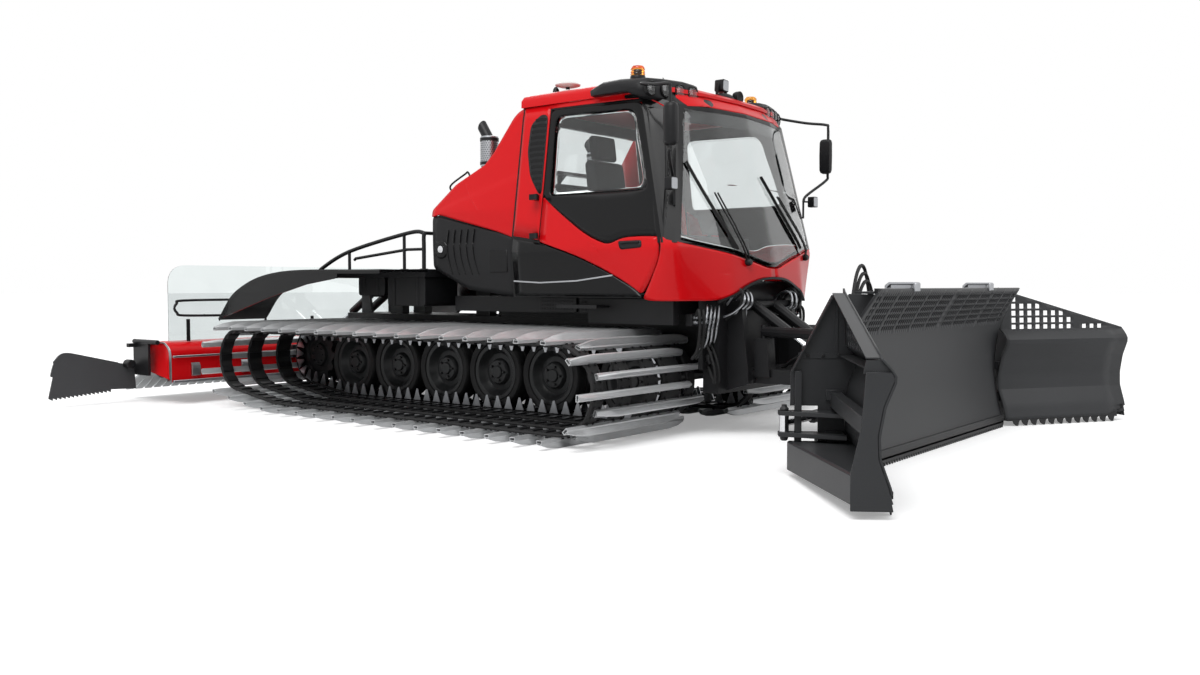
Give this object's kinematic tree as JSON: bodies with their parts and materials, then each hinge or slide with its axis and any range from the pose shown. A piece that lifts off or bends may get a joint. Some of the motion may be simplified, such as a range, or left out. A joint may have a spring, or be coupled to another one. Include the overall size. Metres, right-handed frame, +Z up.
{
  "type": "snowcat groomer",
  "caption": "Tracked snow groomer with a hollow cab, folding all-way front blade, cargo deck and a raised rear tiller, as it parks.",
  "frame": {"origin": "on the ground under the middle of the machine's bounding box", "axes": "+X forward, +Y to the machine's left, +Z up"},
  "size_m": [9.2142, 6.32, 3.0806],
  "materials": {
    "amber": "gloss",
    "black_plastic": "satin",
    "black_steel": "satin",
    "bright_steel": "satin",
    "chrome": "polished",
    "clear_sheet": "gloss",
    "grey_steel": "satin",
    "red_paint": "gloss",
    "rubber": "matte",
    "seat_cloth": "matte",
    "tinted_glass": "gloss"
  },
  "bodies": {
    "chassis": {"chassis_frame": "black_steel", "engine_block": "grey_steel", "engine_cover": "black_plastic", "cowl": "red_paint", "cab_shell": "red_paint", "cab_roof": "black_plastic", "nose": "red_paint", "windshield": "tinted_glass", "rear_window": "tinted_glass", "light_bar": "black_plastic", "beacon_right": "amber", "beacon_left": "amber", "mufflers": "bright_steel", "mirror_right": "black_plastic", "mirror_left": "black_plastic", "driver_seat": "seat_cloth", "passenger_seat": "seat_cloth", "console": "black_plastic", "cargo_deck": "black_steel", "bed_rail": "black_steel", "track_right": "rubber", "track_left": "rubber", "axle_1": "black_steel", "axle_2": "black_steel", "axle_3": "black_steel", "axle_4": "black_steel", "axle_5": "black_steel", "idler_axle": "black_steel", "sprocket_right": "black_steel", "sprocket_left": "black_steel"},
    "door_right": {"door_right": "red_paint", "door_glass_right": "tinted_glass"},
    "door_left": {"door_left": "red_paint", "door_glass_left": "tinted_glass"},
    "push_frame": {"push_frame": "black_steel"},
    "blade_carrier": {"blade_carrier": "black_steel"},
    "blade": {"blade": "grey_steel"},
    "wing_right": {"wing_right": "grey_steel"},
    "wing_left": {"wing_left": "grey_steel"},
    "lift_barrels": {"lift_barrels": "black_steel"},
    "lift_rods": {"lift_rods": "chrome"},
    "angle_barrel_right": {"angle_barrel_right": "black_steel"},
    "angle_rod_right": {"angle_rod_right": "chrome"},
    "angle_barrel_left": {"angle_barrel_left": "black_steel"},
    "angle_rod_left": {"angle_rod_left": "chrome"},
    "wing_barrel_right": {"wing_barrel_right": "black_steel"},
    "wing_rod_right": {"wing_rod_right": "chrome"},
    "wing_barrel_left": {"wing_barrel_left": "black_steel"},
    "wing_rod_left": {"wing_rod_left": "chrome"},
    "tiller": {"tiller_arm": "black_steel", "tiller_hood": "red_paint", "snow_flap": "clear_sheet"},
    "tiller_barrels": {"tiller_barrels": "black_steel"},
    "tiller_rods": {"tiller_rods": "chrome"},
    "rotor_right": {"rotor_right": "grey_steel"},
    "rotor_left": {"rotor_left": "grey_steel"},
    "finisher_right": {"finisher_right": "black_plastic"},
    "finisher_left": {"finisher_left": "black_plastic"}
  },
  "joints": [
    {"name": "door_right_swing", "type": "hinge", "parent": "chassis", "child": "door_right", "pos_m": [0.773, -1.22, 1.16], "axis": [0, 0, -1], "range_deg": [0, 80]},
    {"name": "door_left_swing", "type": "hinge", "parent": "chassis", "child": "door_left", "pos_m": [0.773, 1.22, 1.16], "axis": [0, 0, 1], "range_deg": [0, 80]},
    {"name": "blade_lift", "type": "hinge", "parent": "chassis", "child": "push_frame", "pos_m": [2.375, 0, 0.5], "axis": [0, -1, 0], "range_deg": [-6, 28]},
    {"name": "blade_swing", "type": "hinge", "parent": "push_frame", "child": "blade_carrier", "pos_m": [3.415, 0, 0.46], "axis": [0, 0, 1], "range_deg": [-24, 24]},
    {"name": "blade_tilt", "type": "hinge", "parent": "blade_carrier", "child": "blade", "pos_m": [3.415, 0, 0.46], "axis": [1, 0, 0], "range_deg": [-8, 8]},
    {"name": "wing_left_fold", "type": "hinge", "parent": "blade", "child": "wing_left", "pos_m": [3.715, 1.594, 0], "axis": [0, 0, -1], "range_deg": [-48, 3]},
    {"name": "wing_right_fold", "type": "hinge", "parent": "blade", "child": "wing_right", "pos_m": [3.715, -1.594, 0], "axis": [0, 0, 1], "range_deg": [-48, 3]},
    {"name": "lift_barrels_turn", "type": "hinge", "parent": "chassis", "child": "lift_barrels", "pos_m": [2.315, 0, 1.1], "axis": [0, -1, 0], "range_deg": [-2.98, 13.74]},
    {"name": "lift_rods_stroke", "type": "slide", "parent": "lift_barrels", "child": "lift_rods", "axis": [0.8279, 0, -0.5608], "range_m": [-0.24749, 0.05382]},
    {"name": "angle_barrel_right_turn", "type": "hinge", "parent": "push_frame", "child": "angle_barrel_right", "pos_m": [2.495, -0.3, 0.8753], "axis": [0, 0, 1], "range_deg": [-3.41, 3.41]},
    {"name": "angle_rod_right_stroke", "type": "slide", "parent": "angle_barrel_right", "child": "angle_rod_right", "axis": [0.965, -0.2622, 0], "range_m": [-0.22514, 0.22514]},
    {"name": "angle_barrel_left_turn", "type": "hinge", "parent": "push_frame", "child": "angle_barrel_left", "pos_m": [2.495, 0.3, 0.8753], "axis": [0, 0, 1], "range_deg": [-3.41, 3.41]},
    {"name": "angle_rod_left_stroke", "type": "slide", "parent": "angle_barrel_left", "child": "angle_rod_left", "axis": [0.965, 0.2622, 0], "range_m": [-0.22514, 0.22514]},
    {"name": "wing_barrel_right_turn", "type": "hinge", "parent": "blade", "child": "wing_barrel_right", "pos_m": [3.495, -0.8, 0.35025], "axis": [0, 0, 1], "range_deg": [-9.17, 0.62]},
    {"name": "wing_rod_right_stroke", "type": "slide", "parent": "wing_barrel_right", "child": "wing_rod_right", "axis": [0.022, -0.9998, 0], "range_m": [-0.21745, 0.01453]},
    {"name": "wing_barrel_left_turn", "type": "hinge", "parent": "blade", "child": "wing_barrel_left", "pos_m": [3.495, 0.8, 0.35025], "axis": [0, 0, -1], "range_deg": [-9.17, 0.62]},
    {"name": "wing_rod_left_stroke", "type": "slide", "parent": "wing_barrel_left", "child": "wing_rod_left", "axis": [0.022, 0.9998, 0], "range_m": [-0.21745, 0.01453]},
    {"name": "tiller_lift", "type": "hinge", "parent": "chassis", "child": "tiller", "pos_m": [-3.025, 0, 0.62], "axis": [0, 1, 0], "range_deg": [-10, 32]},
    {"name": "tiller_barrels_turn", "type": "hinge", "parent": "chassis", "child": "tiller_barrels", "pos_m": [-2.765, 0, 1.16], "axis": [0, 1, 0], "range_deg": [-2.37, 7.46]},
    {"name": "tiller_rods_stroke", "type": "slide", "parent": "tiller_barrels", "child": "tiller_rods", "axis": [-0.8575, 0, -0.5145], "range_m": [-0.20244, 0.06395]},
    {"name": "rotor_right_spin", "type": "hinge", "parent": "tiller", "child": "rotor_right", "pos_m": [-3.825, -1.09, 0.37], "axis": [0, 1, 0], "continuous": true},
    {"name": "rotor_left_spin", "type": "hinge", "parent": "tiller", "child": "rotor_left", "pos_m": [-3.825, 1.09, 0.37], "axis": [0, 1, 0], "continuous": true},
    {"name": "finisher_left_fold", "type": "hinge", "parent": "tiller", "child": "finisher_left", "pos_m": [-3.835, 2.24, 0.66], "axis": [1, 0, 0], "range_deg": [0, 95]},
    {"name": "finisher_right_fold", "type": "hinge", "parent": "tiller", "child": "finisher_right", "pos_m": [-3.835, -2.24, 0.66], "axis": [-1, 0, 0], "range_deg": [0, 95]}
  ],
  "couplings": [
    {"joint": "lift_barrels_turn", "follows": "blade_lift", "ratio": 0.4792},
    {"joint": "lift_rods_stroke", "follows": "blade_lift", "m_per_rad": -0.4945},
    {"joint": "angle_barrel_right_turn", "follows": "blade_swing", "ratio": 0.1372},
    {"joint": "angle_rod_right_stroke", "follows": "blade_swing", "m_per_rad": 0.5246},
    {"joint": "angle_barrel_left_turn", "follows": "blade_swing", "ratio": 0.1372},
    {"joint": "angle_rod_left_stroke", "follows": "blade_swing", "m_per_rad": -0.5246},
    {"joint": "wing_barrel_right_turn", "follows": "wing_right_fold", "ratio": 0.1862},
    {"joint": "wing_rod_right_stroke", "follows": "wing_right_fold", "m_per_rad": 0.2533},
    {"joint": "wing_barrel_left_turn", "follows": "wing_left_fold", "ratio": 0.1862},
    {"joint": "wing_rod_left_stroke", "follows": "wing_left_fold", "m_per_rad": 0.2533},
    {"joint": "tiller_barrels_turn", "follows": "tiller_lift", "ratio": 0.2271},
    {"joint": "tiller_rods_stroke", "follows": "tiller_lift", "m_per_rad": -0.3536}
  ]
}
